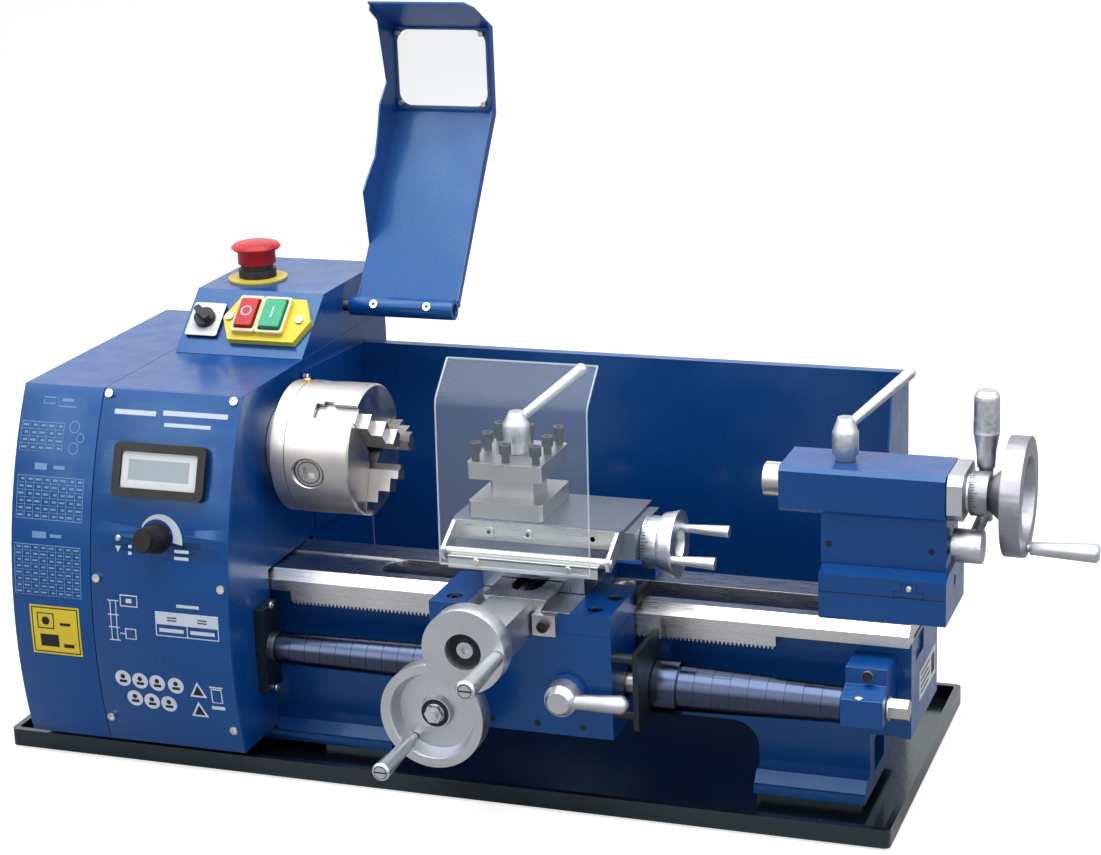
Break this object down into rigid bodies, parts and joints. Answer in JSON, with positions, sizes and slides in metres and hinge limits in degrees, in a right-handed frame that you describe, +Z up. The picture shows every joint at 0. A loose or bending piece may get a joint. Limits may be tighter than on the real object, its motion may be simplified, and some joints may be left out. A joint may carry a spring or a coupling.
{
  "type": "mini metal lathe",
  "caption": "Small bench metal lathe with a covered headstock, three-jaw chuck, geared bed, carriage with compound slide, clear chip shield and tailstock.",
  "frame": {"origin": "underside of the chip tray, midway along it and under the spindle axis", "axes": "+X along the bed to the tailstock, +Y to the back, +Z up"},
  "size_m": [0.836, 0.4908, 0.5533],
  "materials": {
    "blue_paint": "gloss",
    "black_paint": "gloss",
    "grey_paint": "satin",
    "machined_steel": "ground",
    "oiled_iron": "scraped",
    "alloy": "satin",
    "bronze": "machined",
    "clear_sheet": "clear",
    "red_plastic": "gloss",
    "green_plastic": "gloss",
    "yellow_plastic": "satin",
    "black_plastic": "satin",
    "spring_strip": "blued"
  },
  "bodies": {
    "base": {"chip_tray": "black_paint", "bed": "blue_paint", "feed_rack": "machined_steel", "headstock_casting": "grey_paint", "headstock_case": "blue_paint", "front_panel": "blue_paint", "gear_cover": "blue_paint", "control_box": "blue_paint", "display_panel": "black_plastic", "switch_housing": "yellow_plastic", "splash_guard": "blue_paint", "screw_brackets": "blue_paint", "screw_cover_left": "spring_strip", "screw_cover_right": "spring_strip", "motor": "grey_paint", "base_screws": "machined_steel"},
    "spindle_set": {"spindle": "machined_steel", "spindle_pulley": "alloy", "chuck_body": "machined_steel"},
    "scroll": {"chuck_scroll": "machined_steel"},
    "jaw_one": {"chuck_jaw_1": "machined_steel"},
    "jaw_two": {"chuck_jaw_2": "machined_steel"},
    "jaw_three": {"chuck_jaw_3": "machined_steel"},
    "stud": {"stud_gear": "machined_steel"},
    "feed_screw": {"lead_screw": "machined_steel"},
    "carriage": {"saddle": "blue_paint", "apron": "blue_paint", "cover_holder": "black_paint", "cross_feed_bracket": "alloy"},
    "carriage_crank": {"carriage_wheel": "alloy"},
    "carriage_grip": {"carriage_handle": "alloy"},
    "rack_drive": {"rack_gear": "machined_steel"},
    "nut_upper": {"half_nut_upper": "bronze"},
    "nut_lower": {"half_nut_lower": "bronze"},
    "nut_lever": {"half_nut_lever": "alloy"},
    "cross": {"cross_slide": "oiled_iron"},
    "cross_crank": {"cross_wheel": "alloy"},
    "cross_grip": {"cross_handle": "alloy"},
    "swivel": {"swivel_base": "oiled_iron"},
    "compound": {"top_slide": "oiled_iron", "shield_bracket": "machined_steel"},
    "compound_crank": {"top_wheel": "alloy"},
    "shield": {"chip_shield": "clear_sheet"},
    "post": {"tool_post": "oiled_iron"},
    "post_clamp": {"tool_post_lever": "alloy"},
    "tailstock": {"tailstock_base": "blue_paint", "tailstock_body": "blue_paint", "tail_end_plate": "alloy"},
    "quill_set": {"quill": "machined_steel"},
    "tail_crank": {"tail_wheel": "alloy"},
    "tail_grip": {"tail_handle": "alloy"},
    "quill_clamp": {"quill_lever": "alloy"},
    "bed_clamp": {"clamp_lever": "alloy"},
    "guard": {"chuck_guard": "blue_paint", "guard_window": "clear_sheet"},
    "estop": {"estop_button": "red_plastic"},
    "start": {"start_button": "green_plastic"},
    "stop": {"stop_button": "red_plastic"},
    "selector": {"selector_knob": "black_plastic"},
    "speed": {"speed_knob": "black_plastic"}
  },
  "joints": [
    {"name": "spindle_spin", "type": "hinge", "parent": "base", "child": "spindle_set", "pos_m": [-0.1, 0, 0.237], "axis": [1, 0, 0], "continuous": true},
    {"name": "stud_spin", "type": "hinge", "parent": "base", "child": "stud", "pos_m": [-0.275, -0.01606, 0.15735], "axis": [1, 0, 0], "continuous": true},
    {"name": "feed_screw_spin", "type": "hinge", "parent": "base", "child": "feed_screw", "pos_m": [0, -0.06, 0.092], "axis": [1, 0, 0], "continuous": true},
    {"name": "scroll_turn", "type": "hinge", "parent": "spindle_set", "child": "scroll", "pos_m": [-0.107, 0, 0.237], "axis": [1, 0, 0], "range_deg": [-280, 720]},
    {"name": "jaw_one_slide", "type": "slide", "parent": "spindle_set", "child": "jaw_one", "axis": [0, -0.6428, 0.766], "range_m": [-0.0041, 0.0101]},
    {"name": "jaw_two_slide", "type": "slide", "parent": "spindle_set", "child": "jaw_two", "axis": [0, 0.9848, 0.1736], "range_m": [-0.0041, 0.0101]},
    {"name": "jaw_three_slide", "type": "slide", "parent": "spindle_set", "child": "jaw_three", "axis": [0, -0.342, -0.9397], "range_m": [-0.0041, 0.0101]},
    {"name": "carriage_slide", "type": "slide", "parent": "base", "child": "carriage", "axis": [1, 0, 0], "range_m": [-0.0451, 0.0451], "deforming": ["screw_cover_left", "screw_cover_right"]},
    {"name": "carriage_crank_turn", "type": "hinge", "parent": "carriage", "child": "carriage_crank", "pos_m": [0.0297, -0.135, 0.086], "axis": [0, 1, 0], "range_deg": [-1195, 1195]},
    {"name": "carriage_grip_spin", "type": "hinge", "parent": "carriage_crank", "child": "carriage_grip", "pos_m": [0.011, -0.17, 0.0635], "axis": [0, 1, 0], "continuous": true},
    {"name": "rack_drive_spin", "type": "hinge", "parent": "carriage", "child": "rack_drive", "pos_m": [0.04323, -0.075, 0.115], "axis": [0, 1, 0], "range_deg": [-400, 400]},
    {"name": "nut_lever_turn", "type": "hinge", "parent": "carriage", "child": "nut_lever", "pos_m": [0.1188, -0.11, 0.0965], "axis": [0, 1, 0], "range_deg": [-40, 0]},
    {"name": "nut_upper_slide", "type": "slide", "parent": "carriage", "child": "nut_upper", "axis": [0, 0, -1], "range_m": [0, 0.0034]},
    {"name": "nut_lower_slide", "type": "slide", "parent": "carriage", "child": "nut_lower", "axis": [0, 0, 1], "range_m": [0, 0.0034]},
    {"name": "cross_slide_move", "type": "slide", "parent": "carriage", "child": "cross", "axis": [0, 1, 0], "range_m": [-0.0301, 0.0401]},
    {"name": "cross_crank_turn", "type": "hinge", "parent": "carriage", "child": "cross_crank", "pos_m": [0.076, -0.182, 0.159], "axis": [0, 1, 0], "range_deg": [-5420, 7222]},
    {"name": "cross_grip_spin", "type": "hinge", "parent": "cross_crank", "child": "cross_grip", "pos_m": [0.1008, -0.22, 0.1573], "axis": [0, 1, 0], "continuous": true},
    {"name": "compound_swivel", "type": "hinge", "parent": "cross", "child": "swivel", "pos_m": [0.082, -0.04, 0.176], "axis": [0, 0, 1], "range_deg": [-20, 50]},
    {"name": "compound_move", "type": "slide", "parent": "swivel", "child": "compound", "axis": [-1, 0, 0], "range_m": [-0.0151, 0.0201]},
    {"name": "compound_crank_turn", "type": "hinge", "parent": "compound", "child": "compound_crank", "pos_m": [0.18, -0.04, 0.1955], "axis": [-1, 0, 0], "range_deg": [-5440, 7240]},
    {"name": "shield_tilt", "type": "hinge", "parent": "compound", "child": "shield", "pos_m": [0.088, -0.09, 0.195], "axis": [1, 0, 0], "range_deg": [0, 85]},
    {"name": "tool_post_turn", "type": "hinge", "parent": "compound", "child": "post", "pos_m": [0.064, -0.037, 0.234], "axis": [0, 0, 1], "continuous": true},
    {"name": "tool_clamp_turn", "type": "hinge", "parent": "compound", "child": "post_clamp", "pos_m": [0.064, -0.037, 0.265], "axis": [0, 0, 1], "range_deg": [-50, 60]},
    {"name": "tailstock_slide", "type": "slide", "parent": "base", "child": "tailstock", "axis": [1, 0, 0], "range_m": [-0.05, 0]},
    {"name": "quill_move", "type": "slide", "parent": "tailstock", "child": "quill_set", "axis": [-1, 0, 0], "range_m": [0, 0.0551]},
    {"name": "tail_crank_turn", "type": "hinge", "parent": "tailstock", "child": "tail_crank", "pos_m": [0.425, 0, 0.237], "axis": [-1, 0, 0], "range_deg": [0, 9900]},
    {"name": "tail_grip_spin", "type": "hinge", "parent": "tail_crank", "child": "tail_grip", "pos_m": [0.46, 0, 0.199], "axis": [1, 0, 0], "continuous": true},
    {"name": "quill_clamp_turn", "type": "hinge", "parent": "tailstock", "child": "quill_clamp", "pos_m": [0.301, 0, 0.265], "axis": [0, 0, 1], "range_deg": [-40, 40]},
    {"name": "bed_clamp_turn", "type": "hinge", "parent": "tailstock", "child": "bed_clamp", "pos_m": [0.395, -0.008, 0.2], "axis": [1, 0, 0], "range_deg": [-60, 0]},
    {"name": "guard_swing", "type": "hinge", "parent": "base", "child": "guard", "pos_m": [-0.09, 0.128, 0.316], "axis": [1, 0, 0], "range_deg": [0, 130]},
    {"name": "estop_press", "type": "slide", "parent": "base", "child": "estop", "axis": [0, 0, -1], "range_m": [0, 0.004], "stiffness_N_per_m": 900},
    {"name": "start_press", "type": "slide", "parent": "base", "child": "start", "axis": [0, 0.654, -0.7565], "range_m": [0, 0.0025], "stiffness_N_per_m": 500},
    {"name": "stop_press", "type": "slide", "parent": "base", "child": "stop", "axis": [0, 0.654, -0.7565], "range_m": [0, 0.0025], "stiffness_N_per_m": 500},
    {"name": "selector_turn", "type": "hinge", "parent": "base", "child": "selector", "pos_m": [-0.2357, 0.06445, 0.31357], "axis": [0, -0.654, 0.7565], "range_deg": [-45, 45]},
    {"name": "speed_turn", "type": "hinge", "parent": "base", "child": "speed", "pos_m": [-0.2027, -0.10515, 0.19], "axis": [0, -0.9758, 0.2186], "range_deg": [-30, 240]}
  ],
  "couplings": [
    {"joint": "stud_spin", "follows": "spindle_spin", "ratio": -0.66667},
    {"joint": "feed_screw_spin", "follows": "spindle_spin", "ratio": 0.5},
    {"joint": "jaw_one_slide", "follows": "scroll_turn", "m_per_rad": 0.00079577},
    {"joint": "jaw_two_slide", "follows": "scroll_turn", "m_per_rad": 0.00079577},
    {"joint": "jaw_three_slide", "follows": "scroll_turn", "m_per_rad": 0.00079577},
    {"joint": "carriage_crank_turn", "follows": "carriage_slide", "rad_per_m": 461.54},
    {"joint": "rack_drive_spin", "follows": "carriage_slide", "rad_per_m": -153.85},
    {"joint": "nut_upper_slide", "follows": "nut_lever_turn", "m_per_rad": -0.0048701},
    {"joint": "nut_lower_slide", "follows": "nut_lever_turn", "m_per_rad": -0.0048701},
    {"joint": "cross_crank_turn", "follows": "cross_slide_move", "rad_per_m": 3141.6},
    {"joint": "compound_crank_turn", "follows": "compound_move", "rad_per_m": 6283.2},
    {"joint": "quill_move", "follows": "tail_crank_turn", "m_per_rad": 0.00031831}
  ]
}
